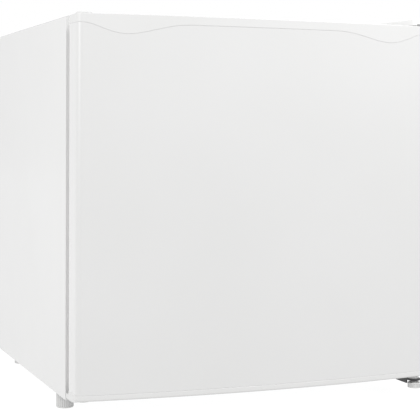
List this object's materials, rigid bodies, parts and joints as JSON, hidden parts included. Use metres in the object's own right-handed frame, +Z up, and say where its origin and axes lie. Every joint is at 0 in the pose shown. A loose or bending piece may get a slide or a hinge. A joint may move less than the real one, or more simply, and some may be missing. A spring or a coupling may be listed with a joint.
{
  "type": "mini fridge",
  "caption": "Table-top mini fridge with a bowed hinged door, an inner ice box with a flap, a wire shelf, a drip tray, door racks and a rear compressor.",
  "frame": {"origin": "on the floor, under the middle of the bounding box", "axes": "+X to the right seen from the front, the door faces -Y, +Z up"},
  "size_m": [0.472, 0.45, 0.495],
  "materials": {
    "white_steel": "satin",
    "white_trim": "satin",
    "liner_plastic": "gloss",
    "rack_plastic": "gloss",
    "clear_plastic": "gloss",
    "insulation": "matte",
    "galvanised": "satin",
    "black_paint": "satin",
    "copper": "satin",
    "aluminium": "satin",
    "zinc": "satin",
    "chrome_wire": "polished",
    "seal_rubber": "matte",
    "magnet": "matte",
    "black_rubber": "matte",
    "grey_plastic": "matte",
    "black_plastic": "matte",
    "coated_wire": "gloss"
  },
  "bodies": {
    "cabinet": {"outer_shell": "white_steel", "rear_panel": "galvanised", "base_plate": "galvanised", "inner_liner": "liner_plastic", "cabinet_foam": "insulation", "compressor_rail": "galvanised", "rear_feet": "grey_plastic", "lower_hinge_bracket": "black_paint", "lower_hinge_pin": "zinc", "hinge_washer": "white_trim", "lower_hinge_screws": "zinc", "top_hinge_plate": "white_steel", "top_hinge_pin": "zinc", "top_hinge_screws": "zinc", "top_hinge_cover": "white_trim", "cabinet_hole_plugs": "white_trim", "evaporator": "aluminium", "evaporator_clips": "white_trim", "ice_box_frame": "white_trim", "thermostat_housing": "white_trim", "thermostat_switch": "black_plastic", "sensing_tube": "copper", "compressor_shell": "black_paint", "compressor_feet": "black_paint", "compressor_grommets": "black_rubber", "compressor_bolts": "zinc", "terminal_cover": "black_plastic", "start_relay": "black_plastic", "cord_inlet": "black_rubber", "condenser_tube": "black_paint", "condenser_wires": "black_paint", "condenser_clips": "white_trim", "condenser_screws": "zinc", "filter_drier": "copper", "suction_pipe": "copper", "capillary_tube": "copper", "discharge_pipe": "copper", "drier_pipe": "copper"},
    "door": {"door_panel": "white_steel", "door_top_cap": "white_trim", "door_bottom_cap": "white_trim", "door_foam": "insulation", "door_liner": "liner_plastic", "door_gasket": "seal_rubber", "gasket_magnets": "magnet", "hinge_bushes": "white_trim", "door_hole_plugs": "white_trim"},
    "upper_rack": {"upper_rack_tray": "rack_plastic", "upper_rack_rail": "chrome_wire"},
    "lower_rack": {"lower_rack_tray": "rack_plastic", "lower_rack_rail": "chrome_wire"},
    "shelf": {"shelf_rim": "coated_wire", "shelf_wires": "coated_wire"},
    "drip_tray": {"drip_tray": "clear_plastic"},
    "ice_flap": {"ice_box_flap": "clear_plastic"},
    "dial": {"thermostat_dial": "white_trim"},
    "left_foot": {"left_front_foot": "grey_plastic"},
    "right_foot": {"right_front_foot": "grey_plastic"},
    "door_side_foot": {"hinge_foot": "grey_plastic"}
  },
  "joints": [
    {"name": "door_hinge", "type": "hinge", "parent": "cabinet", "child": "door", "pos_m": [0.225, -0.2, 0.253], "axis": [0, 0, 1], "range_deg": [0, 120]},
    {"name": "upper_rack_lift", "type": "slide", "parent": "door", "child": "upper_rack", "axis": [0, 0, 1], "range_m": [0, 0.012]},
    {"name": "lower_rack_lift", "type": "slide", "parent": "door", "child": "lower_rack", "axis": [0, 0, 1], "range_m": [0, 0.012]},
    {"name": "shelf_slide", "type": "slide", "parent": "cabinet", "child": "shelf", "axis": [0, -1, 0], "range_m": [0, 0.06]},
    {"name": "drip_tray_slide", "type": "slide", "parent": "cabinet", "child": "drip_tray", "axis": [0, -1, 0], "range_m": [0, 0.07]},
    {"name": "ice_flap_hinge", "type": "hinge", "parent": "cabinet", "child": "ice_flap", "pos_m": [0, -0.063, 0.434], "axis": [-1, 0, 0], "range_deg": [0, 90]},
    {"name": "dial_turn", "type": "hinge", "parent": "cabinet", "child": "dial", "pos_m": [0.158, -0.025, 0.275], "axis": [-1, 0, 0], "range_deg": [0, 270]},
    {"name": "left_foot_turn", "type": "hinge", "parent": "cabinet", "child": "left_foot", "pos_m": [-0.222, -0.105, 0.013], "axis": [0, 0, 1], "range_deg": [0, 720]},
    {"name": "right_foot_turn", "type": "hinge", "parent": "cabinet", "child": "right_foot", "pos_m": [0.222, -0.08, 0.013], "axis": [0, 0, 1], "range_deg": [0, 720]},
    {"name": "hinge_foot_turn", "type": "hinge", "parent": "cabinet", "child": "door_side_foot", "pos_m": [0.226, -0.202, 0.015], "axis": [0, 0, 1], "range_deg": [0, 720]}
  ]
}
